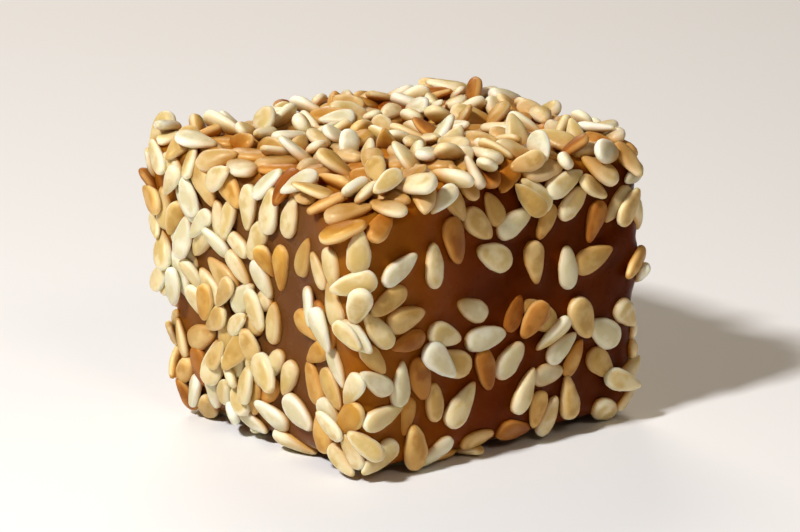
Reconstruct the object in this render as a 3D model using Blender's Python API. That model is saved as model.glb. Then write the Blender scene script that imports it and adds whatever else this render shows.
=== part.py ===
"""One piece of soft nougat: a hand-cut block of brown candy, coated all over with hulled sesame seeds.

Units are metres and +Z is up. The origin is on the surface that the piece stands on, below the middle
of its box. The block's long side runs along X, and its -X -Y corner is the one that faces the viewer.
"""

import math
import random
from collections import namedtuple

import bmesh
import bpy
import numpy as np
from mathutils import Matrix, Vector, noise

# The candy block, without its seeds. It narrows downwards, and its sides bulge a little at mid-height.
BLOCK_SIZE = Vector((0.0235, 0.0204, 0.0182))
EDGE_RADIUS = 0.0014
TAPER = 0.045
BELLY = 0.018
LEAN = Vector((-0.00045, 0.00030, 0.0))

# The nearest top corner sags, and the far left one was pulled outwards when the block was cut.
NEAR_CORNER_SAG = 0.0013
NEAR_CORNER_REACH = 0.0078
FAR_CORNER_PULL = Vector((-0.00085, 0.00080, 0.00020))
FAR_CORNER_REACH = 0.0070
FAR_CORNER_RISES = (0.30, 0.75)

# A slow, uneven ripple on all but the flat underside, and the size of the facets that follow it. The
# surface's direction is taken over a small step, as a share of half a face.
RIPPLE_HEIGHT = 0.00060
RIPPLE_LENGTH = 0.0085
RIPPLE_SHIFTS = (Vector((3.1, 0.7, 5.3)), Vector((9.4, 4.2, 1.6)), Vector((6.8, 8.5, 2.9)))
FLAT_BASE_HEIGHT = 0.0030
FACET = 0.0045
WELD_DISTANCE = 1e-6
NORMAL_STEP = 0.01

# How far the candy's underside is above the surface that the seeds under it stand on, and the sideways
# move that brings the middle of the finished piece's box over the origin.
BASE_GAP = 0.00058
BOX_SHIFT = Vector((0.00020, -0.00025, 0.0))

# A typical sesame seed. The powers shape its outline, from the blunt end to the tip.
SEED_SIZE = Vector((0.00315, 0.00182, 0.00090))
SIZE_RANGE = (0.96, 1.16)
BLUNT_POWER = 0.42
TIP_POWER = 0.62
WIDEST = BLUNT_POWER / (BLUNT_POWER + TIP_POWER)

# A faceted seed: where its outline has corners, from 0 at the blunt end to 1 at the tip, and how much
# narrower its foot, its ridge and its pressed back are than its waist. Facets that meet at less than the
# flat angle are one.
WAIST_CORNERS = (0.05, 0.45, 0.92)
RIDGE_CORNERS = (0.20, 1.0)
PRESSED_CORNERS = (0.10, 0.45, 0.85)
FOOT_NARROWING = 0.80
RIDGE_NARROWING = 0.55
PRESSED_NARROWING = 0.80
FLAT_ANGLE = math.radians(1)

# Balls that stand for a seed where it rests on others: their places along its length and across its
# width, measured from its middle, and their radii, as shares of its length, width and thickness. Seeds
# are pressed together to a share of the balls' touching distance. The first seed has only a ball far
# below the piece to rest on.
SEED_BALLS = ((-0.32, -0.18, 0.44), (-0.32, 0.18, 0.44), (-0.10, -0.26, 0.50), (-0.10, 0.26, 0.50),
              (0.13, -0.18, 0.50), (0.13, 0.18, 0.50), (0.37, 0.0, 0.38))
PRESSED_TOGETHER = 0.70
FAR_AWAY = (0.0, 0.0, -1.0, 0.0)

# The coat in the order in which it is laid. Each seed is the best of some tries: the one with the most
# room. Its middle is off the candy by a share of its thickness, or higher where it rests on others. It
# tilts by up to some degrees, and turns by up to some degrees from upright.
Layer = namedtuple("Layer", "face seeds tries lowest highest tilt turn")
COAT = (
    Layer("top", 64, 18, 0.15, 0.40, 10, 90),
    Layer("top", 38, 8, 0.15, 0.40, 20, 90),
    Layer("front", 37, 14, 0.10, 0.28, 7, 90),
    Layer("left", 40, 12, 0.10, 0.34, 9, 60),
    Layer("back", 33, 14, 0.10, 0.28, 7, 90),
    Layer("right", 32, 14, 0.10, 0.28, 7, 90),
    Layer("base", 16, 14, 0.0, 0.0, 0, 90),
)
RANDOM_SEED = 29

# Seeds near the rim of the top lie flatter than the rounded edge, and a little outside it. Those that
# the piece stands on keep away from the underside's edge. No seed has its middle on a block's corner.
RIM_UPRIGHT = 0.55
TOP_REACH = 1.02
BASE_REACH = 0.90
CORNER_PRODUCT = 0.88

# Each face: the direction it looks, its own left-to-right direction, and its own upward direction.
FACES = {
    "top": (Vector((0, 0, 1)), Vector((1, 0, 0)), Vector((0, 1, 0))),
    "front": (Vector((0, -1, 0)), Vector((1, 0, 0)), Vector((0, 0, 1))),
    "left": (Vector((-1, 0, 0)), Vector((0, -1, 0)), Vector((0, 0, 1))),
    "back": (Vector((0, 1, 0)), Vector((-1, 0, 0)), Vector((0, 0, 1))),
    "right": (Vector((1, 0, 0)), Vector((0, 1, 0)), Vector((0, 0, 1))),
    "base": (Vector((0, 0, -1)), Vector((1, 0, 0)), Vector((0, -1, 0))),
}

# Bare spots where the candy shows: centre and reach on a face that runs from -1 to 1 both ways.
BARE_SPOTS = {
    "top": (),
    "front": ((-0.62, 0.72, 0.26, 0.20), (-0.50, 0.26, 0.27, 0.13), (0.16, 0.20, 0.14, 0.14),
              (0.58, 0.06, 0.17, 0.16), (-0.24, -0.18, 0.10, 0.16), (0.42, -0.62, 0.12, 0.12)),
    "left": ((0.38, 0.10, 0.13, 0.62), (0.78, 0.72, 0.13, 0.14), (-0.72, -0.30, 0.10, 0.16)),
    "back": ((-0.35, 0.45, 0.24, 0.16), (0.40, 0.10, 0.18, 0.20), (-0.10, -0.50, 0.16, 0.14)),
    "right": ((-0.30, 0.05, 0.14, 0.40), (0.45, 0.55, 0.22, 0.14), (0.30, -0.45, 0.14, 0.18)),
    "base": ((0.45, 0.35, 0.22, 0.20), (-0.55, -0.45, 0.18, 0.24)),
}

# Edges that turn by more than the sharp angle are shaded as sharp.
CANDY_COLOUR = (0.105, 0.036, 0.009)
CANDY_ROUGHNESS = 0.35
SEED_COLOUR = (0.72, 0.49, 0.22)
SEED_ROUGHNESS = 0.5
SHARP_ANGLE = math.radians(30)


def smooth_step(low, high, value):
    """0 below low, 1 above high, and a smooth rise between them."""
    share = min(1.0, max(0.0, (value - low) / (high - low)))
    return share * share * (3 - 2 * share)


def nearness(place, end, reach):
    """1 at one end of the block, and falling smoothly to 0 at a reach inwards from it."""
    return smooth_step(end - reach, end, place)


def shape_candy(point):
    """Turns a point of the exact rounded block into one of the uneven, hand-cut block."""
    half = BLOCK_SIZE / 2
    rise = (point.z + half.z) / BLOCK_SIZE.z
    width = (1 - TAPER * (1 - rise)) * (1 + BELLY * (1 - (2 * rise - 1) ** 2))
    shaped = Vector((point.x * width, point.y * width, point.z)) + LEAN * (rise - 0.5)
    near = nearness(-point.x, half.x, NEAR_CORNER_REACH) * nearness(-point.y, half.y, NEAR_CORNER_REACH)
    far = nearness(-point.x, half.x, FAR_CORNER_REACH) * nearness(point.y, half.y, FAR_CORNER_REACH)
    shaped.z -= NEAR_CORNER_SAG * near * rise**3
    shaped += FAR_CORNER_PULL * far * smooth_step(*FAR_CORNER_RISES, rise)
    ripple = Vector([noise.noise(point / RIPPLE_LENGTH + shift) for shift in RIPPLE_SHIFTS])
    shaped += ripple * RIPPLE_HEIGHT * smooth_step(0.0, FLAT_BASE_HEIGHT, point.z + half.z)
    shaped.z += half.z + BASE_GAP
    return shaped


def candy_point(face, across, up):
    """A point of the candy's surface: across and up run from -1 to 1 over the face."""
    outward, rightward, upward = FACES[face]
    cube = outward + rightward * across + upward * up
    half = BLOCK_SIZE / 2
    outer = Vector([c * h for c, h in zip(cube, half)])
    inner = Vector([max(EDGE_RADIUS - h, min(h - EDGE_RADIUS, c)) for c, h in zip(outer, half)])
    return shape_candy(inner + (outer - inner).normalized() * EDGE_RADIUS)


def candy_normal(face, across, up):
    """The outward direction of the candy's surface there."""
    along = candy_point(face, across + NORMAL_STEP, up) - candy_point(face, across - NORMAL_STEP, up)
    climb = candy_point(face, across, up + NORMAL_STEP) - candy_point(face, across, up - NORMAL_STEP)
    return along.cross(climb).normalized()


def grid_stops(face):
    """Grid lines over a face both ways, from -1 to 1, with lines where the rounded edges start."""
    ways = []
    for direction in FACES[face][1:]:
        size = abs(direction.dot(BLOCK_SIZE))
        flat, steps = 1 - 2 * EDGE_RADIUS / size, round(size / FACET)
        ways.append([-1.0, *(flat * (2 * i / steps - 1) for i in range(steps + 1)), 1.0])
    return ways


def facet_point(face, across, up):
    """The point of the faceted candy there, blended from the corners of the facet that it is on."""
    cell = []
    for stops, at in zip(grid_stops(face), (across, up)):
        low = max(s for s in stops[:-1] if s <= at)
        high = stops[stops.index(low) + 1]
        cell.append((low, high, (at - low) / (high - low)))
    (left, right, along), (bottom, top, climb) = cell
    lower = candy_point(face, left, bottom).lerp(candy_point(face, right, bottom), along)
    upper = candy_point(face, left, top).lerp(candy_point(face, right, top), along)
    return lower.lerp(upper, climb)


def add_material(name, colour, roughness):
    """A plain Principled material."""
    material = bpy.data.materials.new(name)
    material.use_nodes = True
    shader = material.node_tree.nodes["Principled BSDF"]
    shader.inputs["Base Color"].default_value = (*colour, 1)
    shader.inputs["Roughness"].default_value = roughness
    shader.inputs["Metallic"].default_value = 0
    material.diffuse_color = (*colour, 1)
    return material


def mesh_from(shape, name, material):
    """Ends a bmesh as a mesh of one material."""
    mesh = bpy.data.meshes.new(name)
    shape.to_mesh(mesh)
    shape.free()
    mesh.materials.append(material)
    return mesh


def make_candy(material):
    """The candy block: a coarse grid on each of its six faces, welded along the edges."""
    shape = bmesh.new()
    for face in FACES:
        columns, rows = grid_stops(face)
        grid = [[shape.verts.new(candy_point(face, c, r)) for c in columns] for r in rows]
        for lower, upper in zip(grid, grid[1:]):
            for i in range(len(columns) - 1):
                shape.faces.new((lower[i], lower[i + 1], upper[i + 1], upper[i]))
    bmesh.ops.remove_doubles(shape, verts=shape.verts, dist=WELD_DISTANCE)
    candy = bpy.data.objects.new("nougat", mesh_from(shape, "nougat", material))
    bpy.context.scene.collection.objects.link(candy)
    return candy


def seed_half_width(share):
    """Half the width of a seed of width 1, at a share of its length from the blunt end to the tip."""
    peak = WIDEST**BLUNT_POWER * (1 - WIDEST) ** TIP_POWER
    return 0.5 * share**BLUNT_POWER * (1 - share) ** TIP_POWER / peak


def seed_ring(shares, narrowing, height):
    """Points round a seed of length, width and thickness 1 at one height. The blunt end is at -X."""
    points = []
    for share in shares:
        x, y = (share - WIDEST) * narrowing + WIDEST - 0.5, seed_half_width(share) * narrowing
        points += [(x, y, height)] if share == 1 else [(x, y, height), (x, -y, height)]
    return points


def make_seed_mesh(name, crest, material):
    """A seed of length, width and thickness 1: the hull of a sunken foot, a waist and a crest."""
    shape = bmesh.new()
    rings = seed_ring(WAIST_CORNERS, FOOT_NARROWING, -0.5) + seed_ring(WAIST_CORNERS, 1.0, 0.0) + crest
    bmesh.ops.convex_hull(shape, input=[shape.verts.new(p) for p in rings])
    bmesh.ops.dissolve_limit(shape, angle_limit=FLAT_ANGLE, verts=shape.verts, edges=shape.edges)
    return mesh_from(shape, name, material)


def is_bare(face, across, up):
    """True at a corner of the face, and in a spot of it where the candy shows."""
    spots = BARE_SPOTS[face]
    in_spot = any(((across - a) / ra) ** 2 + ((up - b) / rb) ** 2 < 1 for a, b, ra, rb in spots)
    return in_spot or abs(across * up) > CORNER_PRODUCT


def draw_seed(draw, layer):
    """A random seed of a layer: its middle, its own axes, and its size against a typical seed's."""
    reach = BASE_REACH if layer.face == "base" else 1.0
    across, up = draw.uniform(-reach, reach), draw.uniform(-reach, reach)
    turn, size = draw.choice((90, 270)) + draw.uniform(-layer.turn, layer.turn), draw.uniform(*SIZE_RANGE)
    lift = draw.uniform(layer.lowest, layer.highest)
    roll, pitch = draw.uniform(-layer.tilt, layer.tilt), draw.uniform(-layer.tilt, layer.tilt)
    if is_bare(layer.face, across, up):
        return None
    outward, rightward, _ = FACES[layer.face]
    place, normal = facet_point(layer.face, across, up), candy_normal(layer.face, across, up)
    if layer.face == "base":
        place.z, normal = SEED_SIZE.z * size / 2, outward
    if layer.face == "top":
        place = Vector((place.x * TOP_REACH, place.y * TOP_REACH, place.z))
        normal = normal.lerp(outward, RIM_UPRIGHT).normalized()
    upward = normal.cross(rightward).normalized()
    axes = Matrix((upward.cross(normal), upward, normal)).transposed()
    for angle, axis in ((turn, "Z"), (roll, "X"), (pitch, "Y")):
        axes @= Matrix.Rotation(math.radians(angle), 3, axis)
    return place + normal * SEED_SIZE.z * lift, axes, size


def seed_depth(axes, size):
    """How far below its middle a seed reaches."""
    return size * math.hypot(*[axes[2][i] * SEED_SIZE[i] / 2 for i in range(3)])


def seed_balls(place, axes, size):
    """The balls that stand for a seed: rows of a centre and a radius."""
    length, width, thickness = SEED_SIZE * size
    spots = [(*(place + axes @ Vector((a * length, b * width, 0))), r * thickness) for a, b, r in SEED_BALLS]
    return np.array(spots)


def room(balls, laid, outward):
    """How far a seed must rise to rest on those laid before it, and its gap to the nearest of them."""
    apart = balls[:, None, :3] - laid[None, :, :3]
    touching = balls[:, None, 3] + laid[None, :, 3]
    height = (apart * np.array(outward)).sum(axis=2)
    distance = (apart**2).sum(axis=2)
    over = (touching * PRESSED_TOGETHER) ** 2 - (distance - height**2)
    rise = np.where(over > 0, np.sqrt(np.maximum(over, 0)) - height, 0).max()
    return max(0.0, float(rise)), float((np.sqrt(distance) - touching).min())


def lay_seed(draw, layer, laid):
    """The best of some random seeds of a layer, let down on the face and on the seeds laid before it."""
    outward, best = FACES[layer.face][0], None
    for _ in range(layer.tries):
        drawn = draw_seed(draw, layer)
        if drawn is None:
            continue
        place, axes, size = drawn
        rise, gap = room(seed_balls(*drawn), laid, outward)
        low = layer.face != "base" and place.z < seed_depth(axes, size)
        if not low and (best is None or gap - rise > best[0]):
            best = (gap - rise, place + outward * rise, axes, size)
    return best[1:]


def scatter_seeds():
    """The whole coat: each seed's face, middle, axes and size."""
    draw = random.Random(RANDOM_SEED)
    kept, laid = [], np.array([FAR_AWAY])
    for layer in COAT:
        for _ in range(layer.seeds):
            seed = lay_seed(draw, layer, laid)
            kept.append((layer.face, *seed))
            laid = np.vstack((laid, seed_balls(*seed)))
    return kept


def make_seeds(collection, material):
    """Each seed as an object of its own in the collection. Those underneath have flat, pressed backs."""
    ridge = seed_ring(RIDGE_CORNERS, RIDGE_NARROWING, 0.5)
    ridged = make_seed_mesh("sesame_seed", ridge, material)
    back = seed_ring(PRESSED_CORNERS, PRESSED_NARROWING, 0.5)
    pressed = make_seed_mesh("pressed_seed", back, material)
    for face, place, axes, size in scatter_seeds():
        mesh = pressed if face == "base" else ridged
        seed = bpy.data.objects.new(mesh.name, mesh)
        seed.matrix_world = Matrix.LocRotScale(place, axes.to_quaternion(), SEED_SIZE * size)
        collection.objects.link(seed)


def fuse(body, collection):
    """Joins the collection's objects to the body with one union, then removes them."""
    union = body.modifiers.new("fused_seeds", "BOOLEAN")
    union.operation = "UNION"
    union.solver = "EXACT"
    union.operand_type = "COLLECTION"
    union.collection = collection
    union.material_mode = "TRANSFER"
    bpy.context.view_layer.update()
    graph = bpy.context.evaluated_depsgraph_get()
    fused = bpy.data.meshes.new_from_object(body.evaluated_get(graph))
    body.modifiers.remove(union)
    body.data = fused
    for seed in list(collection.objects):
        bpy.data.objects.remove(seed)
    bpy.data.collections.remove(collection)


def keep_outer_shell(body):
    """Fills each hollow that fusing sealed, and drops each loose scrap, by keeping the largest shell."""
    shape = bmesh.new()
    shape.from_mesh(body.data)
    unseen, shells = set(shape.faces), []
    while unseen:
        stack, shell = [unseen.pop()], []
        while stack:
            face = stack.pop()
            shell.append(face)
            near = {f for edge in face.edges for f in edge.link_faces if f in unseen}
            unseen -= near
            stack += near
        shells.append(shell)
    shells.sort(key=len)
    for shell in shells[:-1]:
        bmesh.ops.delete(shape, geom=shell, context="FACES")
    bmesh.ops.triangulate(shape, faces=shape.faces)
    shape.to_mesh(body.data)
    shape.free()


def main():
    """Clears the scene and builds the piece."""
    for obj in list(bpy.data.objects):
        bpy.data.objects.remove(obj)
    nougat = make_candy(add_material("nougat_candy", CANDY_COLOUR, CANDY_ROUGHNESS))
    loose = bpy.data.collections.new("seeds_to_fuse")
    bpy.context.scene.collection.children.link(loose)
    make_seeds(loose, add_material("sesame", SEED_COLOUR, SEED_ROUGHNESS))
    fuse(nougat, loose)
    keep_outer_shell(nougat)
    nougat.data.transform(Matrix.Translation(BOX_SHIFT))
    nougat.data.shade_smooth()
    nougat.data.set_sharp_from_angle(angle=SHARP_ANGLE)


main()
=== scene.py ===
"""The looks of one piece of soft nougat: translucent brown candy under a coat of hulled sesame seeds.

Units are metres and +Z is up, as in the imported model. The candy keeps the solid's shape, with a finer
surface. The coat starts from the places of the solid's seeds, and smaller seeds fill it. Then all but
those underneath settle on the candy and against each other, away from their first places. The block's
-X -Y upright edge faces the camera.
"""

import math
import random
from collections import namedtuple

import bmesh
import bpy
import numpy as np
from mathutils import Matrix, Vector, noise
from mathutils.bvhtree import BVHTree
from mathutils.kdtree import KDTree


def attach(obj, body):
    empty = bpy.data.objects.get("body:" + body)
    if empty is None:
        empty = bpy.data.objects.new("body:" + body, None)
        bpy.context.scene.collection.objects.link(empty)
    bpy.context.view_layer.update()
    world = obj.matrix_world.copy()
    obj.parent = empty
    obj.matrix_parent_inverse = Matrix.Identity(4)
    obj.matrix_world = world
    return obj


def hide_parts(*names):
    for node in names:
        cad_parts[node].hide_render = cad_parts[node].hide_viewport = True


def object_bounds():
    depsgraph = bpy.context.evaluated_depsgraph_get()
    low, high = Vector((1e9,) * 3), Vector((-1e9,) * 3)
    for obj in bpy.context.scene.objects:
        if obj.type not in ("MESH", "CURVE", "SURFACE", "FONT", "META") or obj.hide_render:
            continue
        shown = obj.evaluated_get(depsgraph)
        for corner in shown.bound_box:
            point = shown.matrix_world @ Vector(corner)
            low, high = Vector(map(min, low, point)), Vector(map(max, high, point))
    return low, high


# The candy block, as the solid has it. It narrows downwards and leans a little, and its sides bulge a
# little at mid-height.
BLOCK_SIZE = Vector((0.0235, 0.0204, 0.0182))
EDGE_RADIUS = 0.0014
TAPER = 0.045
BELLY = 0.018
LEAN = Vector((-0.00045, 0.00030, 0.0))

# The nearest top corner sags, and the far left one was pulled outwards when the block was cut. The pull
# grows between two shares of the block's height.
NEAR_CORNER_SAG = 0.0013
NEAR_CORNER_REACH = 0.0078
FAR_CORNER_PULL = Vector((-0.00085, 0.00080, 0.00020))
FAR_CORNER_REACH = 0.0070
FAR_CORNER_RISES = (0.30, 0.75)

# A slow, uneven ripple on all but the flat underside, and the size of the solid's facets. Grid points
# within the weld distance become one. The surface's direction is taken over a small step, as a share of
# half a face.
RIPPLE_HEIGHT = 0.00060
RIPPLE_LENGTH = 0.0085
RIPPLE_SHIFTS = (Vector((3.1, 0.7, 5.3)), Vector((9.4, 4.2, 1.6)), Vector((6.8, 8.5, 2.9)))
FLAT_BASE_HEIGHT = 0.0030
FACET = 0.0045
WELD_DISTANCE = 1e-6
NORMAL_STEP = 0.01

# How far the candy's underside is above the surface that the seeds under it stand on, and the sideways
# move that brings the middle of the solid's box over the origin.
BASE_GAP = 0.00058
BOX_SHIFT = Vector((0.00020, -0.00025, 0.0))

# The candy's finer surface: the grid that shows, the coarser one that the seeds settle on, its soft dents,
# and how high it climbs round the seeds stuck to it, and from how far away.
CANDY_GRID = 0.00020
TOUCH_GRID = 0.0009
DENT_DEPTH = 0.00016
DENT_LENGTH = 0.0026
CLIMB_HEIGHT = 0.00008
CLIMB_REACH = 0.00050

# A typical sesame seed, and how large the solid's seeds and the smaller ones are against it. The solid's
# seeds are made here at a share of that size, which leaves room for the smaller ones.
SEED_SIZE = Vector((0.00315, 0.00182, 0.00090))
SIZE_RANGE = (0.96, 1.16)
SMALL_SIZES = (0.78, 1.00)
LARGE_SHARE = 0.94

# Balls that stand for a seed where it rests on others: their places along its length and across its
# width, measured from its middle, and their radii, as shares of its length, width and thickness. The
# first seed has only a ball far below the piece to rest on.
SEED_BALLS = ((-0.32, -0.18, 0.44), (-0.32, 0.18, 0.44), (-0.10, -0.26, 0.50), (-0.10, 0.26, 0.50),
              (0.13, -0.18, 0.50), (0.13, 0.18, 0.50), (0.37, 0.0, 0.38))
FAR_AWAY = (0.0, 0.0, -1.0, 0.0)

# The coat in the order in which it is laid: the seeds that the solid has, and then the smaller ones. Each
# seed is the best of some tries: the one with the most room. Its middle is off the candy by a share of its
# thickness, or higher where it rests on others, pressed to a share of the balls' touching distance. It
# tilts by up to some degrees, and turns by up to some degrees from upright. While the coat settles, it
# moves and turns by shares of what would free it: those underneath stay where they are. The last number
# grows the bare spots, from which small seeds keep further away.
Layer = namedtuple("Layer", "face seeds tries lowest highest tilt turn sizes pressed push spin bare")
COAT = (
    Layer("top", 64, 18, 0.15, 0.40, 10, 90, SIZE_RANGE, 0.70, 1.0, 0.5, 1.0),
    Layer("top", 38, 8, 0.15, 0.40, 20, 90, SIZE_RANGE, 0.70, 1.0, 0.5, 1.0),
    Layer("front", 37, 14, 0.10, 0.28, 7, 90, SIZE_RANGE, 0.70, 1.0, 0.5, 1.0),
    Layer("left", 40, 12, 0.10, 0.34, 9, 60, SIZE_RANGE, 0.70, 1.0, 0.5, 1.0),
    Layer("back", 33, 14, 0.10, 0.28, 7, 90, SIZE_RANGE, 0.70, 1.0, 0.5, 1.0),
    Layer("right", 32, 14, 0.10, 0.28, 7, 90, SIZE_RANGE, 0.70, 1.0, 0.5, 1.0),
    Layer("base", 16, 14, 0.0, 0.0, 0, 90, SIZE_RANGE, 0.70, 0.0, 0.0, 1.0),
)
FRONT_FILL = Layer("front", 30, 3, 0.10, 0.60, 25, 90, SMALL_SIZES, 0.85, 1.6, 0.6, 1.35)
FILL = (
    Layer("top", 70, 6, 0.40, 1.00, 55, 90, SMALL_SIZES, 0.85, 1.6, 0.20, 1.0),
    Layer("top", 70, 4, 0.60, 1.60, 65, 90, SMALL_SIZES, 0.85, 1.6, 0.10, 1.0),
    FRONT_FILL,
    Layer("left", 76, 3, 0.10, 0.90, 35, 60, SMALL_SIZES, 0.85, 1.6, 0.3, 1.9),
    Layer("back", 26, 4, 0.10, 0.60, 22, 90, SMALL_SIZES, 0.85, 1.6, 0.6, 1.7),
    Layer("right", 26, 4, 0.10, 0.60, 22, 90, SMALL_SIZES, 0.85, 1.6, 0.6, 1.7),
    Layer("base", 12, 12, 0.0, 0.0, 0, 90, SMALL_SIZES, 0.85, 0.0, 0.0, 1.0),
)

# Three seeds that the photograph shows in the bare part of the front: across, up, turn, size and lift.
SINGLES = ((-0.72, 0.49, 35, 0.96, 0.3), (-0.51, 0.44, 94, 0.98, 0.3), (-0.80, 0.27, 212, 0.94, 0.3))

# Where the random draws start: for the solid's seeds, for the smaller ones, and for how single seeds differ.
COAT_RANDOM_SEED = 29
FILL_RANDOM_SEED = 5
FORM_RANDOM_SEED = 8

# The turns of a seed that points up or down its face. Seeds near the rim of the top lie flatter than the
# rounded edge, and a little outside it. Those that the piece stands on keep away from the underside's edge.
# No seed has its middle on a block's corner.
UPRIGHT_TURNS = (90, 270)
RIM_UPRIGHT = 0.55
TOP_REACH = 1.02
BASE_REACH = 0.90
CORNER_PRODUCT = 0.88

# Each face: the direction it looks, its own left-to-right direction, and its own upward direction.
FACES = {
    "top": (Vector((0, 0, 1)), Vector((1, 0, 0)), Vector((0, 1, 0))),
    "front": (Vector((0, -1, 0)), Vector((1, 0, 0)), Vector((0, 0, 1))),
    "left": (Vector((-1, 0, 0)), Vector((0, -1, 0)), Vector((0, 0, 1))),
    "back": (Vector((0, 1, 0)), Vector((-1, 0, 0)), Vector((0, 0, 1))),
    "right": (Vector((1, 0, 0)), Vector((0, 1, 0)), Vector((0, 0, 1))),
    "base": (Vector((0, 0, -1)), Vector((1, 0, 0)), Vector((0, -1, 0))),
}

# Bare spots where the candy shows: centre and reach on a face that runs from -1 to 1 both ways.
BARE_SPOTS = {
    "top": (),
    "front": ((-0.62, 0.72, 0.26, 0.20), (-0.50, 0.26, 0.27, 0.13), (0.16, 0.20, 0.14, 0.14),
              (0.58, 0.06, 0.17, 0.16), (-0.24, -0.18, 0.10, 0.16), (0.42, -0.62, 0.12, 0.12)),
    "left": ((0.38, 0.10, 0.13, 0.62), (0.78, 0.72, 0.13, 0.14), (-0.72, -0.30, 0.10, 0.16)),
    "back": ((-0.35, 0.45, 0.24, 0.16), (0.40, 0.10, 0.18, 0.20), (-0.10, -0.50, 0.16, 0.14)),
    "right": ((-0.30, 0.05, 0.14, 0.40), (0.45, 0.55, 0.22, 0.14), (0.30, -0.45, 0.14, 0.18)),
    "base": ((0.45, 0.35, 0.22, 0.20), (-0.55, -0.45, 0.18, 0.24)),
}

# Settling: how often the seeds move, how far the pull takes them each time at the start and at the end,
# how firmly they push each other apart, and how deep each sinks into the candy, as a share of its balls'
# radii. The pull goes by the surface share to the nearest candy, and otherwise straight at the seed's own
# face. A seed turns by at most so many radians a step. Seeds whose middles are within a reach may touch, and
# such pairs are found again after some steps.
SETTLING_STEPS = 140
PULL_FIRST = 0.000030
PULL_LAST = 0.000006
FIRMNESS = 0.92
SUNK_RANGE = (0.35, 0.80)
SURFACE_SHARE = 0.6
MOST_SPIN = 0.06
NEIGHBOUR_REACH = 0.0042
STEPS_PER_NEIGHBOURS = 10

# The most degrees by which the solid's seeds on the top are first tipped over, and how far past the
# solid's box the balls may reach. The two least amounts keep divisors above zero.
TOP_TIPPING = 28
BOX_MARGIN = Vector((0.00018, 0.00016, 0.00040))
LEAST_DISTANCE = 1e-9
LEAST_SPIN = 1e-12

# The smooth seed's grid, along its length and round it, and how much single seeds differ: the powers of
# the outline at its blunt end and its tip, its narrowing towards the tip, its width and thickness, the
# dimple in its faces, its curl out of its plane, and its sway within it.
SEED_STATIONS = 13
SEED_ROUND = 16
BLUNT_POWERS = (0.40, 0.50)
TIP_POWERS = (0.40, 0.54)
NARROWINGS = (0.34, 0.66)
WIDTHS = (0.80, 1.04)
THICKNESSES = (0.95, 1.28)
DIMPLES = (0.0, 0.30)
CURLS = (0.0, 0.16)
SWAYS = (-0.10, 0.10)
SeedForm = namedtuple("SeedForm", "blunt tip width thickness dimple curl sway phases narrowing")

# What all seeds share: how fast they thin towards their ends, how sharp the rim is, how far the dimple
# reaches across and along, what keeps a curled or swaying seed about centred, and how closely the rim's
# colour follows the ends.
PLUMPNESS = 0.70
RIM_SHARPNESS = 0.96
DIMPLE_ACROSS = 0.5
DIMPLE_ALONG = 0.28
CURL_MIDDLE = 0.04
SWAY_MIDDLE = 0.08
RIM_END_POWER = 4

# A seed's wrinkles: waves, by their pace along, across and through the seed. The first two make the broad
# wrinkles together, and the last two the fine ones, which are weaker.
WAVES = ((9, 5, 0), (0, 7, -3), (17, -8, 0), (0, 13, 0))
WRINKLE = 0.040
FINE_SHARE = 0.6

# The kinds of seed: how common each is on the top, on the left face and on the others, the two colours
# between which single seeds vary, the paler colour of its rim, and the deeper one of its middle and its tip.
# The paler mix on the top and the left face, where the key light falls, is painted light, and the deeper mix
# on the other faces, which are in shade, is painted shade.
Kind = namedtuple("Kind", "name shares light deep rim hollow")
KINDS = (
    Kind("sesame_white", (0.20, 0.28, 0.20),
         (0.81, 0.80, 0.66), (0.76, 0.715, 0.50), (0.88, 0.86, 0.72), (0.56, 0.48, 0.25)),
    Kind("sesame_cream", (0.45, 0.42, 0.30),
         (0.82, 0.745, 0.51), (0.74, 0.615, 0.34), (0.87, 0.82, 0.61), (0.53, 0.365, 0.10)),
    Kind("sesame_straw", (0.20, 0.16, 0.30),
         (0.76, 0.57, 0.27), (0.60, 0.405, 0.13), (0.83, 0.70, 0.42), (0.42, 0.235, 0.045)),
    Kind("sesame_toasted", (0.12, 0.11, 0.15),
         (0.74, 0.49, 0.18), (0.61, 0.345, 0.065), (0.84, 0.64, 0.30), (0.42, 0.185, 0.018)),
    Kind("sesame_amber", (0.03, 0.03, 0.05),
         (0.52, 0.24, 0.05), (0.36, 0.13, 0.018), (0.66, 0.38, 0.12), (0.22, 0.06, 0.006)),
)

# Syrup from the candy darkens the seeds near it, and the same darkening is painted shade between the seeds
# and deep in the pile: its colour, how far from the candy it reaches, and how far on the top, where the
# seeds are piled and the painted shade reaches deeper.
SYRUP_AND_SHADE_COLOUR = (0.66, 0.34, 0.04)
SYRUP_AND_SHADE_REACH = 0.00060
TOP_SYRUP_AND_SHADE_REACH = 0.00150

# How a material turns a value into a strength: the value's low and high ends and the strength at each,
# with a smooth rise or fall between them. Then a noise's scale and detail, and a bump's strength and depth.
Spread = namedtuple("Spread", "low high at_low at_high")
Noise = namedtuple("Noise", "scale detail")
Bump = namedtuple("Bump", "strength distance")

# The seeds' finish: broad clouds and smaller patches of the deeper colour, where the patches, the rim, the
# tip and the syrup with its painted shade show, and the fine grain with its gloss. Each seed's noise starts
# elsewhere, by up to the shift along each axis.
CLOUD_NOISE = Noise(1.1, 2.0)
CLOUD_STRENGTH = Spread(0.46, 0.70, 0.0, 0.55)
PATCH_NOISE = Noise(2.6, 3.0)
PATCH_STRENGTH = Spread(0.36, 0.62, 0.30, 1.0)
MIDDLE_STRENGTH = Spread(0.25, 0.80, 0.85, 0.0)
RIM_STRENGTH = Spread(0.70, 1.0, 0.0, 0.8)
TIP_STRENGTH = Spread(0.90, 1.0, 0.0, 0.8)
SYRUP_AND_SHADE_STRENGTH = Spread(0.0, 0.90, 0.0, 0.95)
GRAIN_NOISE = Noise(24.0, 3.0)
GRAIN_SHIFT = 50
SEED_ROUGHNESS = Spread(0.3, 0.7, 0.34, 0.50)
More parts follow.
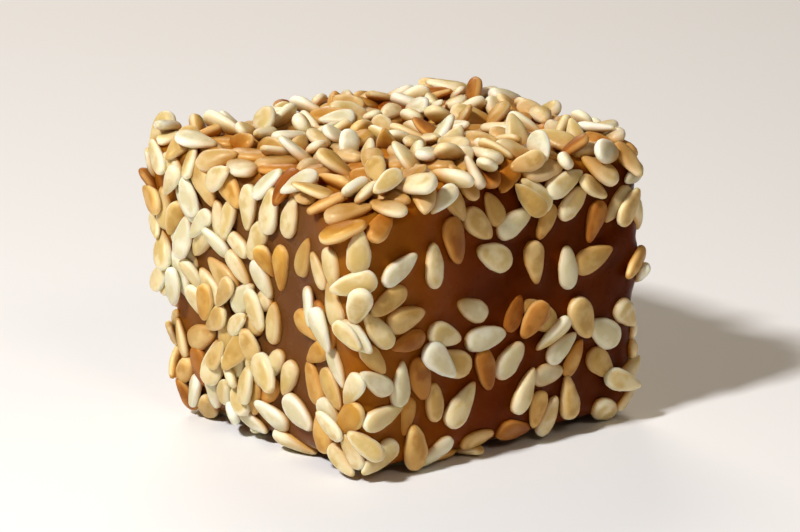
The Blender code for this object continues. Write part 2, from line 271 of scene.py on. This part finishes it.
SEED_BUMP = Bump(0.3, 0.00004)
SEED_SOCKETS = {
    "Subsurface Weight": 0.32,
    "Subsurface Radius": (1.0, 0.46, 0.13),
    "Subsurface Scale": 0.0007,
}

# The candy's colour: clouds of two browns, and painted light and shade laid over them in turn. Each layer
# follows a place along X or Z, or the nearness to an upright edge of the -X side, which the power draws
# close to the edge. They are a painted shade of dark brown to the right, away from the key light, a painted
# warm glow near the edges, a painted dull sheen on the left face, where the key light falls, a painted amber
# glow at the edges, where light shines through, and a brighter painted amber glow on the top, between the
# seeds.
GLOW_EDGE_POWER = 3
CANDY_NOISE = Noise(210.0, 3.0)
CANDY_BROWNS = ((0.30, (0.048, 0.0050, 0.0001)), (0.70, (0.190, 0.031, 0.0006)))
Tint = namedtuple("Tint", "follows strength colour")
CANDY_PAINTED_LIGHT = (
    Tint("X", Spread(-0.0060, 0.0060, 0.0, 0.55), (0.046, 0.0050, 0.0002)),
    Tint("edge", Spread(-0.20, 0.45, 0.0, 0.7), (0.175, 0.024, 0.0003)),
    Tint("X", Spread(-0.0125, -0.0060, 0.85, 0.0), (0.132, 0.053, 0.013)),
    Tint("edge", Spread(0.05, 0.98, 0.0, 0.9), (0.30, 0.090, 0.005)),
    Tint("Z", Spread(0.0176, 0.0188, 0.0, 0.85), (0.42, 0.135, 0.010)),
)

# The candy's satin gloss, its fine grain, and its depth.
GLOSS_NOISE = Noise(650.0, 3.0)
CANDY_ROUGHNESS = Spread(0.3, 0.7, 0.20, 0.38)
CANDY_GRAIN_NOISE = Noise(1500.0, 3.0)
CANDY_BUMP = Bump(0.35, 0.00006)
CANDY_SOCKETS = {
    "Subsurface Weight": 0.5,
    "Subsurface Radius": (1.0, 0.32, 0.08),
    "Subsurface Scale": 0.0030,
    "Specular IOR Level": 0.09,
    "Specular Tint": (1.0, 0.36, 0.07, 1),
}

# Where a Mix node takes its two colours, and where it gives their mixture.
MIX_UNDER = 6
MIX_OVER = 7
MIX_RESULT = 2

# The floor reaches this far from the middle, each way.
FLOOR_REACH = 0.9
FLOOR_SOCKETS = {"Base Color": (0.82, 0.82, 0.81, 1), "Roughness": 0.7}

# The camera, in the direction of the photograph, and what it and the lights look at.
CAMERA_AZIMUTH = -38.0
CAMERA_ELEVATION = 16.2
CAMERA_DISTANCE = 0.30
LENS = 205.0
NEAREST_SEEN = 0.01
FURTHEST_SEEN = 10.0
AIM = Vector((0.0, 0.0, 0.0103))

# Soft square lights, all above the piece. As the camera sees it, the key light comes from the front left,
# the fill from the front right, and the back light from behind.
Light = namedtuple("Light", "name place side power colour")
LIGHTS = (
    Light("key", Vector((-0.24, -0.04, 0.26)), 0.04, 1.42, (0.99, 0.98, 1.0)),
    Light("fill", Vector((-0.06, -0.31, 0.26)), 0.10, 0.20, (1.0, 0.82, 0.64)),
    Light("back", Vector((0.12, 0.26, 0.24)), 0.16, 0.46, (1.0, 0.88, 0.74)),
)
SURROUNDINGS_SOCKETS = {"Color": (1.0, 0.83, 0.62, 1), "Strength": 0.065}


def smooth_step(low, high, value):
    """0 at low, 1 at high, and a smooth rise between them."""
    share = min(1.0, max(0.0, (value - low) / (high - low)))
    return share * share * (3 - 2 * share)


def nearness(place, end, reach):
    """1 at one end of the block, and falling smoothly to 0 at a reach inwards from it."""
    return smooth_step(end - reach, end, place)


def shape_candy(point):
    """Turns a point of the exact rounded block into one of the uneven, hand-cut block."""
    half = BLOCK_SIZE / 2
    rise = (point.z + half.z) / BLOCK_SIZE.z
    width = (1 - TAPER * (1 - rise)) * (1 + BELLY * (1 - (2 * rise - 1) ** 2))
    shaped = Vector((point.x * width, point.y * width, point.z)) + LEAN * (rise - 0.5)
    near = nearness(-point.x, half.x, NEAR_CORNER_REACH) * nearness(-point.y, half.y, NEAR_CORNER_REACH)
    far = nearness(-point.x, half.x, FAR_CORNER_REACH) * nearness(point.y, half.y, FAR_CORNER_REACH)
    shaped.z -= NEAR_CORNER_SAG * near * rise**3
    shaped += FAR_CORNER_PULL * far * smooth_step(*FAR_CORNER_RISES, rise)
    ripple = Vector([noise.noise(point / RIPPLE_LENGTH + shift) for shift in RIPPLE_SHIFTS])
    shaped += ripple * RIPPLE_HEIGHT * smooth_step(0.0, FLAT_BASE_HEIGHT, point.z + half.z)
    shaped.z += half.z + BASE_GAP
    return shaped


def candy_point(face, across, up):
    """A point of the candy's surface: across and up run from -1 to 1 over the face."""
    outward, rightward, upward = FACES[face]
    cube = outward + rightward * across + upward * up
    half = BLOCK_SIZE / 2
    outer = Vector([c * h for c, h in zip(cube, half)])
    inner = Vector([max(EDGE_RADIUS - h, min(h - EDGE_RADIUS, c)) for c, h in zip(outer, half)])
    return shape_candy(inner + (outer - inner).normalized() * EDGE_RADIUS)


def candy_normal(face, across, up):
    """The outward direction of the candy's surface there."""
    along = candy_point(face, across + NORMAL_STEP, up) - candy_point(face, across - NORMAL_STEP, up)
    climb = candy_point(face, across, up + NORMAL_STEP) - candy_point(face, across, up - NORMAL_STEP)
    return along.cross(climb).normalized()


def grid_stops(face, facet):
    """Grid lines over a face both ways, from -1 to 1, with lines where the rounded edges start."""
    ways = []
    for direction in FACES[face][1:]:
        size = abs(direction.dot(BLOCK_SIZE))
        flat, steps = 1 - 2 * EDGE_RADIUS / size, round(size / facet)
        rim = max(1, round(EDGE_RADIUS / facet))
        edge = [flat + (1 - flat) * i / rim for i in range(1, rim + 1)]
        middle = [flat * (2 * i / steps - 1) for i in range(steps + 1)]
        ways.append([*(-e for e in reversed(edge)), *middle, *edge])
    return ways


def facet_point(face, across, up):
    """The point of the faceted candy there, blended from the corners of the facet that it is on."""
    cell = []
    for stops, at in zip(grid_stops(face, FACET), (across, up)):
        low = max(s for s in stops[:-1] if s <= at)
        high = stops[stops.index(low) + 1]
        cell.append((low, high, (at - low) / (high - low)))
    (left, right, along), (bottom, top, climb) = cell
    lower = candy_point(face, left, bottom).lerp(candy_point(face, right, bottom), along)
    upper = candy_point(face, left, top).lerp(candy_point(face, right, top), along)
    return lower.lerp(upper, climb)


def candy_shape(facet):
    """The candy as a bmesh with a grid on each face."""
    shape = bmesh.new()
    for face in FACES:
        columns, rows = grid_stops(face, facet)
        grid = [[shape.verts.new(candy_point(face, c, r)) for c in columns] for r in rows]
        for lower, upper in zip(grid, grid[1:]):
            for i in range(len(columns) - 1):
                shape.faces.new((lower[i], lower[i + 1], upper[i + 1], upper[i]))
    bmesh.ops.remove_doubles(shape, verts=shape.verts, dist=WELD_DISTANCE)
    bmesh.ops.recalc_face_normals(shape, faces=shape.faces)
    return shape


def is_bare(layer, across, up):
    """True at a corner of the face, and in a spot of it where the candy shows."""
    spots, grown = BARE_SPOTS[layer.face], layer.bare**2
    in_spot = any(((across - a) / ra) ** 2 + ((up - b) / rb) ** 2 < grown for a, b, ra, rb in spots)
    return in_spot or abs(across * up) > CORNER_PRODUCT


def seed_at(face, across, up, turn, size, lift, roll=0.0, pitch=0.0):
    """A seed at a place of a face: its middle, its own axes, and its size against a typical seed's."""
    outward, rightward, _ = FACES[face]
    place, normal = facet_point(face, across, up), candy_normal(face, across, up)
    if face == "base":
        place.z, normal = SEED_SIZE.z * size / 2, outward
    if face == "top":
        place = Vector((place.x * TOP_REACH, place.y * TOP_REACH, place.z))
        normal = normal.lerp(outward, RIM_UPRIGHT).normalized()
    upward = normal.cross(rightward).normalized()
    axes = Matrix((upward.cross(normal), upward, normal)).transposed()
    for angle, axis in ((turn, "Z"), (roll, "X"), (pitch, "Y")):
        axes @= Matrix.Rotation(math.radians(angle), 3, axis)
    return place + normal * SEED_SIZE.z * lift, axes, size


def draw_seed(draw, layer):
    """A random seed of a layer, or none where the candy stays bare."""
    reach = BASE_REACH if layer.face == "base" else 1.0
    across, up = draw.uniform(-reach, reach), draw.uniform(-reach, reach)
    turn = draw.choice(UPRIGHT_TURNS) + draw.uniform(-layer.turn, layer.turn)
    size = draw.uniform(*layer.sizes)
    lift = draw.uniform(layer.lowest, layer.highest)
    roll, pitch = draw.uniform(-layer.tilt, layer.tilt), draw.uniform(-layer.tilt, layer.tilt)
    if is_bare(layer, across, up):
        return None
    return seed_at(layer.face, across, up, turn, size, lift, roll, pitch)


def seed_depth(axes, size):
    """How far below its middle a seed reaches."""
    return size * math.hypot(*[axes[2][i] * SEED_SIZE[i] / 2 for i in range(3)])


def seed_balls(place, axes, size):
    """The balls that stand for a seed: rows of a centre and a radius."""
    length, width, thickness = SEED_SIZE * size
    spots = [(*(place + axes @ Vector((a * length, b * width, 0))), r * thickness) for a, b, r in SEED_BALLS]
    return np.array(spots)


def room(balls, laid, outward, pressed):
    """How far a seed must rise to rest on those laid before it, and its gap to the nearest of them."""
    apart = balls[:, None, :3] - laid[None, :, :3]
    touching = balls[:, None, 3] + laid[None, :, 3]
    height = (apart * np.array(outward)).sum(axis=2)
    distance = (apart**2).sum(axis=2)
    over = (touching * pressed) ** 2 - (distance - height**2)
    rise = np.where(over > 0, np.sqrt(np.maximum(over, 0)) - height, 0).max()
    return max(0.0, float(rise)), float((np.sqrt(distance) - touching).min())


def lay_seed(draw, layer, laid):
    """The best of some random seeds of a layer, let down on the face and on the seeds laid before it.

    It is none where all the tries fall on bare candy or reach below the surface that the piece stands on.
    """
    outward, best = FACES[layer.face][0], None
    for _ in range(layer.tries):
        drawn = draw_seed(draw, layer)
        if drawn is None:
            continue
        place, axes, size = drawn
        rise, gap = room(seed_balls(*drawn), laid, outward, layer.pressed)
        low = layer.face != "base" and place.z < seed_depth(axes, size)
        if not low and (best is None or gap - rise > best[0]):
            best = (gap - rise, place + outward * rise, axes, size)
    return best and best[1:]


def scatter_seeds():
    """The whole coat: each seed's layer, middle, axes and size."""
    kept, laid = [], np.array([FAR_AWAY])
    for layers, number in ((COAT, COAT_RANDOM_SEED), (FILL, FILL_RANDOM_SEED)):
        draw = random.Random(number)
        for layer in layers:
            for _ in range(layer.seeds):
                seed = lay_seed(draw, layer, laid)
                if seed:
                    kept.append((layer, *seed))
                    laid = np.vstack((laid, seed_balls(*seed)))
    return kept + [(FRONT_FILL, *seed_at("front", *single)) for single in SINGLES]


def tip_over(draw, layer, axes):
    """The axes of a seed, tipped over at random where it is one of the solid's seeds on the top."""
    if layer in COAT and layer.face == "top":
        for axis in "XY":
            axes = axes @ Matrix.Rotation(math.radians(draw.uniform(-TOP_TIPPING, TOP_TIPPING)), 3, axis)
    return axes


class Coat:
    """All seeds as arrays: middles, axes, sizes, and the balls that stand for each of them."""

    def __init__(self, seeds, box):
        """Starts from the scattered seeds, and from the box that holds them: the solid's with a margin."""
        draw = random.Random(FORM_RANDOM_SEED)
        self.lowest = np.array([*(box[0] - BOX_SHIFT - BOX_MARGIN).xy, 0.0])
        self.highest = np.array(box[1] - BOX_SHIFT + BOX_MARGIN)
        self.outward = np.array([FACES[layer.face][0] for layer, *_ in seeds])
        self.places = np.array([place for _, place, _, _ in seeds])
        self.axes = np.array([tip_over(draw, layer, axes) for layer, _, axes, _ in seeds])
        self.sizes = np.array([size * (LARGE_SHARE if layer in COAT else 1) for layer, _, _, size in seeds])
        self.push = np.array([layer.push for layer, *_ in seeds])[:, None]
        self.spin = np.array([layer.spin for layer, *_ in seeds])[:, None]
        self.sunk = np.array([draw.uniform(*SUNK_RANGE) for _ in seeds])
        length, width, thickness = SEED_SIZE
        spots = np.array([(a * length, b * width, 0.0) for a, b, _ in SEED_BALLS])
        self.spots = spots[None] * self.sizes[:, None, None]
        radii = np.array([r * thickness for _, _, r in SEED_BALLS])
        self.radii = radii[None] * self.sizes[:, None]

    def balls(self):
        """The centres of all balls, one row for each seed."""
        return self.places[:, None] + np.einsum("nij,nkj->nki", self.axes, self.spots)

    def neighbours(self):
        """Pairs of seeds that may touch."""
        apart = np.linalg.norm(self.places[:, None] - self.places[None], axis=2)
        first, second = np.nonzero(apart < NEIGHBOUR_REACH)
        return first[first < second], second[first < second]

    def push_apart(self, balls, pairs, moves):
        """Adds the moves that bring overlapping balls of two seeds apart."""
        first, second = pairs
        apart = balls[first][:, :, None] - balls[second][:, None]
        distance = np.linalg.norm(apart, axis=3) + LEAST_DISTANCE
        touching = self.radii[first][:, :, None] + self.radii[second][:, None]
        over = np.maximum(0, touching * FIRMNESS - distance)
        move = apart * (over / distance)[..., None] / 2
        np.add.at(moves, first, move.sum(axis=2))
        np.add.at(moves, second, -move.sum(axis=1))

    def hold_to_candy(self, balls, candy, pull):
        """The moves that pull each ball to the candy, round its edges too, and stop it at its own depth."""
        found = [candy.find_nearest(Vector(centre)) for centre in balls.reshape(-1, 3)]
        hits = np.array([hit for hit, *_ in found]).reshape(balls.shape)
        normals = np.array([normal for _, normal, *_ in found]).reshape(balls.shape)
        height = ((balls - hits) * normals).sum(axis=2, keepdims=True)
        least = (self.radii * (1 - self.sunk[:, None]))[..., None]
        away = np.where(height > least, balls - hits, normals)
        away /= np.linalg.norm(away, axis=2, keepdims=True)
        inward = -(self.outward[:, None] * (1 - SURFACE_SHARE) + away * SURFACE_SHARE)
        return inward * pull + normals * np.maximum(0, least - height)

    def step(self, candy, pairs, pull):
        """Moves and turns each seed once."""
        balls, radii = self.balls(), self.radii[..., None]
        moves = self.hold_to_candy(balls, candy, pull)
        moves += np.maximum(0, self.lowest + radii - balls) - np.maximum(0, balls + radii - self.highest)
        self.push_apart(balls, pairs, moves)
        arms = balls - self.places[:, None]
        spin = np.cross(arms, moves).sum(axis=1) / (arms**2).sum(axis=(1, 2))[:, None]
        spin *= np.minimum(1, MOST_SPIN / (np.linalg.norm(spin, axis=1) + LEAST_SPIN))[:, None]
        self.places += moves.mean(axis=1) * self.push
        for i, turn in enumerate(spin * self.spin):
            self.axes[i] = np.array(Matrix.Rotation(Vector(turn).length, 3, Vector(turn))) @ self.axes[i]

    def settle(self, candy):
        """Lets the seeds sink to the candy and push each other apart, step by step."""
        for number in range(SETTLING_STEPS):
            if number % STEPS_PER_NEIGHBOURS == 0:
                pairs = self.neighbours()
            share = number / (SETTLING_STEPS - 1)
            self.step(candy, pairs, PULL_FIRST + (PULL_LAST - PULL_FIRST) * share)


def draw_form(draw):
    """What sets the form of one seed apart from the others'."""
    ranges = (BLUNT_POWERS, TIP_POWERS, WIDTHS, THICKNESSES, DIMPLES, CURLS, SWAYS)
    drawn = [draw.uniform(*limits) for limits in ranges]
    phases = [draw.uniform(0, 2 * math.pi) for _ in WAVES]
    return SeedForm(*drawn, phases, draw.uniform(*NARROWINGS))


def seed_grid():
    """Each grid point's share of the length, from 0 at the blunt end to 1 at the tip, and its angle."""
    along = (1 - np.cos(math.pi * (np.arange(SEED_STATIONS) + 1) / (SEED_STATIONS + 1))) / 2
    angle = 2 * math.pi * np.arange(SEED_ROUND) / SEED_ROUND
    share, theta = [g.ravel() for g in np.meshgrid(along, angle, indexing="ij")]
    return np.concatenate(([0.0], share, [1.0])), np.concatenate(([0.0], theta, [0.0]))


def wrinkles(x, y, z, phases):
    """How much the seed swells at each point, against a smooth one."""
    waves = [np.sin(a * x + b * y + c * z + phase) for (a, b, c), phase in zip(WAVES, phases)]
    return 1 + WRINKLE * (waves[0] * waves[1] + FINE_SHARE * waves[2] * waves[3])


def shape_seed(draw, size):
    """One smooth seed in its own axes: its points, and each one's share of the length and of the rim."""
    form = draw_form(draw)
    share, theta = seed_grid()
    profile = share**form.blunt * (1 - share) ** form.tip * (1 - form.narrowing * share)
    profile /= profile.max()
    across, above = np.cos(theta), np.sin(theta)
    x = share - 0.5
    y = 0.5 * form.width * profile * across
    lens = np.sign(above) * np.abs(above) ** RIM_SHARPNESS
    hollow = 1 - form.dimple * np.exp(-((across / DIMPLE_ACROSS) ** 2) - (x / DIMPLE_ALONG) ** 2)
    z = 0.5 * form.thickness * profile**PLUMPNESS * lens * hollow
    swell = wrinkles(x, y, z, form.phases)
    y = y * swell + form.sway * (x**2 - SWAY_MIDDLE) * profile
    z = z * swell - form.curl * (x**2 - CURL_MIDDLE)
    points = np.stack((x, y, z), axis=1) * np.array(SEED_SIZE) * size
    return points, share, 1 - (1 - across**2) * (1 - (2 * x) ** RIM_END_POWER)


def seed_faces():
    """The faces between a seed's points: two fans at its ends and rings of quads between them."""
    faces, last = [], 1 + SEED_STATIONS * SEED_ROUND
    for i in range(SEED_ROUND):
        after = (i + 1) % SEED_ROUND
        faces.append((0, 1 + after, 1 + i))
        faces.append((last, last - SEED_ROUND + i, last - SEED_ROUND + after))
        for ring in range(SEED_STATIONS - 1):
            low = 1 + ring * SEED_ROUND
            high = low + SEED_ROUND
            faces.append((low + i, low + after, high + after, high + i))
    return faces


def add_attribute(mesh, name, values):
    """Gives each vertex of the mesh a number or a vector of that name."""
    kind, field = ("FLOAT", "value") if values.ndim == 1 else ("FLOAT_VECTOR", "vector")
    held = mesh.attributes.new(name, kind, "POINT")
    held.data.foreach_set(field, values.astype(np.float32).ravel())


def link(obj):
    """Puts an object into the scene."""
    bpy.context.scene.collection.objects.link(obj)
    return obj


def syrup_and_shade_nearness(points, candy, reach):
    """How near each point is to the candy: 1 on it, and 0 from a reach above it."""
    apart = [candy.find_nearest(Vector(point))[3] for point in points]
    return np.clip(1 - np.array(apart) / reach, 0, 1)


def make_seed(number, coat, candy, draw):
    """One seed of the coat: its points, none of them below the floor, and what its material reads there."""
    form, along, rim = shape_seed(draw, coat.sizes[number])
    points = form @ coat.axes[number].T + coat.places[number]
    # How much syrup and painted shade darken each point, reaching deeper into the pile on the top.
    syrup_and_shade = syrup_and_shade_nearness(points, candy, TOP_SYRUP_AND_SHADE_REACH if coat.outward[number][2] > 0 else SYRUP_AND_SHADE_REACH)
    points += np.array(BOX_SHIFT)
    points[:, 2] += max(0.0, -points[:, 2].min())
    grain = form / SEED_SIZE.x + np.array([draw.uniform(0, GRAIN_SHIFT) for _ in range(3)])
    tone = np.full(len(along), draw.random())
    return {"points": points, "along": along, "rim": rim, "tone": tone, "syrup_and_shade": syrup_and_shade, "grain": grain}


def make_kind(kind, chosen, coat, candy, draw):
    """All seeds of one kind as one mesh, each with a form and a tone of its own."""
    seeds, pattern = [make_seed(number, coat, candy, draw) for number in chosen], seed_faces()
    values = {name: np.concatenate([seed[name] for seed in seeds]) for name in seeds[0]}
    starts = range(0, len(values["points"]), len(seeds[0]["points"]))
    faces = [tuple(start + v for v in face) for start in starts for face in pattern]
    mesh = bpy.data.meshes.new(kind.name)
    mesh.from_pydata(values.pop("points").tolist(), [], faces)
    for name, held in values.items():
        add_attribute(mesh, name, held)
    mesh.shade_smooth()
    mesh.materials.append(seed_material(kind))
    return link(bpy.data.objects.new(kind.name, mesh))


def shares_of_kinds(outward):
    """How common each kind is on a face that looks in that direction: paler kinds on the lit top and left
    face, as painted light, and deeper ones on the other faces, as painted shade.
    """
    column = 0 if outward[2] > 0 else 1 if outward[0] < 0 else 2
    return [kind.shares[column] for kind in KINDS]


def make_seeds(coat, candy):
    """The coat as one piece for each kind of seed."""
    draw, pieces = random.Random(FORM_RANDOM_SEED), []
    # Paler kinds on the lit faces and deeper ones on the shaded faces: painted light and shade.
    picks = [draw.choices(KINDS, shares_of_kinds(outward))[0] for outward in coat.outward]
    for kind in KINDS:
        chosen = [number for number, pick in enumerate(picks) if pick is kind]
        pieces.append(make_kind(kind, chosen, coat, candy, draw))
    return pieces


def candy_lift(places, coat):
    """How far each point of the candy rises: its soft dents, and the climb round each seed."""
    balls, radii = coat.balls().reshape(-1, 3), coat.radii.ravel()
    tree = KDTree(len(balls))
    for i, ball in enumerate(balls):
        tree.insert(ball, i)
    tree.balance()
    lift = np.zeros(len(places))
    for i, place in enumerate(places):
        point = Vector(place)
        _, index, distance = tree.find(point)
        gap = (distance - radii[index]) / CLIMB_REACH
        lift[i] = DENT_DEPTH * noise.noise(point / DENT_LENGTH) + CLIMB_HEIGHT * smooth_step(1, 0, gap)
    return lift * np.clip((places[:, 2] - BASE_GAP) / FLAT_BASE_HEIGHT, 0, 1)


def painted_glow_nearness(places):
    """Where the painted amber glow shows: 1 at the two upright edges of the -X side, and less towards +X and
    towards that side's middle.
    """
    outness = places[:, :2] * 2 / np.array(BLOCK_SIZE.xy) * (-1, 1)
    outness[:, 1] = np.abs(outness[:, 1]) ** GLOW_EDGE_POWER
    return outness.min(axis=1)


def make_candy(coat):
    """The candy block with soft dents, climbing a little up each seed that is stuck to it."""
    shape = candy_shape(CANDY_GRID)
    mesh = bpy.data.meshes.new("candy")
    shape.to_mesh(mesh)
    shape.free()
    places, normals = [np.empty(len(mesh.vertices) * 3, np.float32) for _ in range(2)]
    mesh.vertices.foreach_get("co", places)
    mesh.vertex_normals.foreach_get("vector", normals)
    places, normals = places.reshape(-1, 3), normals.reshape(-1, 3)
    places += normals * candy_lift(places, coat)[:, None] + np.array(BOX_SHIFT, dtype=np.float32)
    mesh.vertices.foreach_set("co", places.ravel())
    # The mask for the painted amber glow at the -X edges.
    add_attribute(mesh, "edge", painted_glow_nearness(places))
    mesh.shade_smooth()
    mesh.materials.append(candy_material())
    return link(bpy.data.objects.new("candy", mesh))


def new_material(name):
    """A material, its Principled shader, and its node tree."""
    material = bpy.data.materials.new(name)
    material.use_nodes = True
    tree = material.node_tree
    return material, tree.nodes["Principled BSDF"], tree


def set_sockets(node, values):
    """Sets a node's own sockets, for what is the same everywhere."""
    for name, value in values.items():
        node.inputs[name].default_value = value


def add_node(tree, kind, settings=None, **inputs):
    """Adds a node. Inputs are values, or sockets of other nodes."""
    node = tree.nodes.new(kind)
    for name, value in (settings or {}).items():
        setattr(node, name, value)
    for name, value in inputs.items():
        socket = node.inputs[name.replace("_", " ")]
        if isinstance(value, bpy.types.NodeSocket):
            tree.links.new(value, socket)
        else:
            socket.default_value = value
    return node


def attribute(tree, name, output="Fac"):
    """The values that the mesh holds under a name."""
    return add_node(tree, "ShaderNodeAttribute", {"attribute_name": name}).outputs[output]


def noise_of(tree, vector, kind):
    """Soft noise of a scale and a detail."""
    node = add_node(tree, "ShaderNodeTexNoise", Vector=vector, Scale=kind.scale, Detail=kind.detail)
    return node.outputs["Fac"]


def ramp(tree, value, stops):
    """Colours by value, from one stop to the other: each is a position and a colour."""
    node = add_node(tree, "ShaderNodeValToRGB", Fac=value)
    for element, (position, colour) in zip(node.color_ramp.elements, stops):
        element.position = position
        element.color = (*colour, 1)
    return node.outputs["Color"]


def spread(tree, value, reach):
    """Turns a value smoothly into a strength."""
    node = add_node(tree, "ShaderNodeMapRange", {"interpolation_type": "SMOOTHSTEP"}, Value=value,
                    From_Min=reach.low, From_Max=reach.high, To_Min=reach.at_low, To_Max=reach.at_high)
    return node.outputs["Result"]


def product(tree, first, second):
    """Two strengths multiplied."""
    node = add_node(tree, "ShaderNodeMath", {"operation": "MULTIPLY"})
    for socket, value in zip(node.inputs, (first, second)):
        tree.links.new(value, socket)
    return node.outputs[0]


def tint_over(tree, body, strength, colour, blend="MIX"):
    """The body's colour with another laid over it, or multiplied into it, by a strength."""
    node = add_node(tree, "ShaderNodeMix", {"data_type": "RGBA", "blend_type": blend}, Factor=strength)
    tree.links.new(body, node.inputs[MIX_UNDER])
    node.inputs[MIX_OVER].default_value = (*colour, 1)
    return node.outputs[MIX_RESULT]


def relief(tree, height, kind):
    """A bump from a height."""
    node = add_node(tree, "ShaderNodeBump", Height=height, Strength=kind.strength, Distance=kind.distance)
    return node.outputs["Normal"]


def finish_shader(tree, shader, body, roughness, normal):
    """Links what varies over the surface to the shader."""
    for name, value in (("Base Color", body), ("Roughness", roughness), ("Normal", normal)):
        tree.links.new(value, shader.inputs[name])


def seed_material(kind):
    """A hulled seed: a deeper, mottled face inside a paler rim, a darker tip, a fine grain, and near the
    candy a darkening that is partly syrup and partly painted shade.
    """
    material, shader, tree = new_material(kind.name)
    grain, rim = attribute(tree, "grain", "Vector"), attribute(tree, "rim")
    clouds = spread(tree, noise_of(tree, grain, CLOUD_NOISE), CLOUD_STRENGTH)
    patches = spread(tree, noise_of(tree, grain, PATCH_NOISE), PATCH_STRENGTH)
    mottle = product(tree, patches, spread(tree, rim, MIDDLE_STRENGTH))
    body = ramp(tree, attribute(tree, "tone"), ((0.0, kind.light), (1.0, kind.deep)))
    body = tint_over(tree, body, clouds, kind.hollow)
    body = tint_over(tree, body, mottle, kind.hollow)
    body = tint_over(tree, body, spread(tree, rim, RIM_STRENGTH), kind.rim)
    body = tint_over(tree, body, spread(tree, attribute(tree, "along"), TIP_STRENGTH), kind.hollow)
    # Darkening near the candy: partly syrup, partly painted shade between the seeds and deep in the pile.
    body = tint_over(tree, body, spread(tree, attribute(tree, "syrup_and_shade"), SYRUP_AND_SHADE_STRENGTH), SYRUP_AND_SHADE_COLOUR, "MULTIPLY")
    fine = noise_of(tree, grain, GRAIN_NOISE)
    finish_shader(tree, shader, body, spread(tree, fine, SEED_ROUGHNESS), relief(tree, fine, SEED_BUMP))
    set_sockets(shader, {**SEED_SOCKETS, "Specular Tint": (*kind.rim, 1)})
    return material


def candy_material():
    """Chewy, translucent brown candy: dark, with a painted amber glow towards the -X edges and on the top, a
    painted sheen on the left face, painted shade to the right, and a satin gloss.
    """
    material, shader, tree = new_material("nougat_candy")
    place = add_node(tree, "ShaderNodeTexCoord").outputs["Object"]
    parts = add_node(tree, "ShaderNodeSeparateXYZ", Vector=place).outputs
    values = {"X": parts["X"], "Z": parts["Z"], "edge": attribute(tree, "edge")}
    body = ramp(tree, noise_of(tree, place, CANDY_NOISE), CANDY_BROWNS)
    # Painted light and shade over the browns: shade to the right, sheen on the left face, amber glow at the
    # -X edges and on the top.
    for tint in CANDY_PAINTED_LIGHT:
        body = tint_over(tree, body, spread(tree, values[tint.follows], tint.strength), tint.colour)
    roughness = spread(tree, noise_of(tree, place, GLOSS_NOISE), CANDY_ROUGHNESS)
    normal = relief(tree, noise_of(tree, place, CANDY_GRAIN_NOISE), CANDY_BUMP)
    finish_shader(tree, shader, body, roughness, normal)
    set_sockets(shader, CANDY_SOCKETS)
    return material


def make_floor():
    """The plain pale floor."""
    mesh = bpy.data.meshes.new("floor")
    ways = ((-1, -1), (1, -1), (1, 1), (-1, 1))
    mesh.from_pydata([(x * FLOOR_REACH, y * FLOOR_REACH, 0) for x, y in ways], [], [(0, 1, 2, 3)])
    material, shader, _ = new_material("floor")
    set_sockets(shader, FLOOR_SOCKETS)
    mesh.materials.append(material)
    link(bpy.data.objects.new("floor", mesh))


def aim(obj, place):
    """Puts an object at a place, looking at the piece."""
    obj.location = place
    obj.rotation_euler = (AIM - place).to_track_quat("-Z", "Y").to_euler()


def make_lights():
    """The lights, and pale surroundings."""
    for light in LIGHTS:
        lamp = bpy.data.lights.new(light.name, "AREA")
        lamp.shape = "SQUARE"
        lamp.size = light.side
        lamp.energy = light.power
        lamp.color = light.colour
        aim(link(bpy.data.objects.new(light.name, lamp)), light.place)
    world = bpy.data.worlds.new("surroundings")
    world.use_nodes = True
    set_sockets(world.node_tree.nodes["Background"], SURROUNDINGS_SOCKETS)
    bpy.context.scene.world = world
    bpy.context.scene.view_settings.view_transform = "Standard"


def make_camera():
    """A long lens in the photograph's direction."""
    azimuth, elevation = math.radians(CAMERA_AZIMUTH), math.radians(CAMERA_ELEVATION)
    level = math.cos(elevation)
    back = Vector((math.sin(azimuth) * level, -math.cos(azimuth) * level, math.sin(elevation)))
    camera = bpy.data.cameras.new("camera")
    camera.lens = LENS
    camera.clip_start = NEAREST_SEEN
    camera.clip_end = FURTHEST_SEEN
    obj = link(bpy.data.objects.new("camera", camera))
    aim(obj, AIM + back * CAMERA_DISTANCE)
    bpy.context.scene.camera = obj


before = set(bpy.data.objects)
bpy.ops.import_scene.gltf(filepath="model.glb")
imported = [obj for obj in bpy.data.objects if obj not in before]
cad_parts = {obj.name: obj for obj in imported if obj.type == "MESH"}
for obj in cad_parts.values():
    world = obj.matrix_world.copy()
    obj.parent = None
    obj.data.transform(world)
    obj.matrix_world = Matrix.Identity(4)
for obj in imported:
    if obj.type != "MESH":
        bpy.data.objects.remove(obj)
solid_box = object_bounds()
make_camera()
make_lights()
make_floor()

touch_shape = candy_shape(TOUCH_GRID)
touch_tree = BVHTree.FromBMesh(touch_shape)
touch_shape.free()
coat = Coat(scatter_seeds(), solid_box)
coat.settle(touch_tree)

candy = make_candy(coat)
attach(candy, "root")
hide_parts("nougat")
for piece in make_seeds(coat, touch_tree):
    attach(piece, "root")
